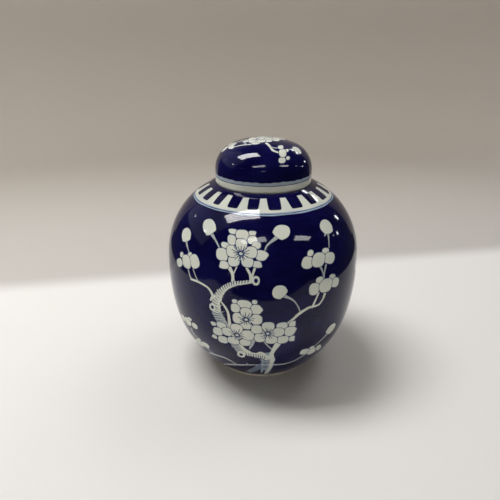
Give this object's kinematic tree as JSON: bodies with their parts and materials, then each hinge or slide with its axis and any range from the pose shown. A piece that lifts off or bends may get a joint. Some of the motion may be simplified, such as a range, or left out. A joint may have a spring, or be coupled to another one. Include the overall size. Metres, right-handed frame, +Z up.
{
  "type": "ginger jar",
  "caption": "Round-bellied glazed porcelain jar with a short neck, a bare foot ring and a loose domed lid, blue ground with white blossom branches.",
  "frame": {"origin": "centre of the foot ring, on the surface the jar stands on", "axes": "+Z up along the axis of the jar; the side with the main blossom branch faces -Y"},
  "size_m": [0.162, 0.162, 0.199],
  "materials": {
    "jar_glaze": "gloss",
    "lid_glaze": "gloss"
  },
  "bodies": {
    "jar": {"jar": "jar_glaze"},
    "lid": {"lid": "lid_glaze"}
  },
  "joints": [
    {"name": "lid_lift", "type": "slide", "parent": "jar", "child": "lid", "axis": [0, 0, 1], "range_m": [0, 0.12]}
  ]
}
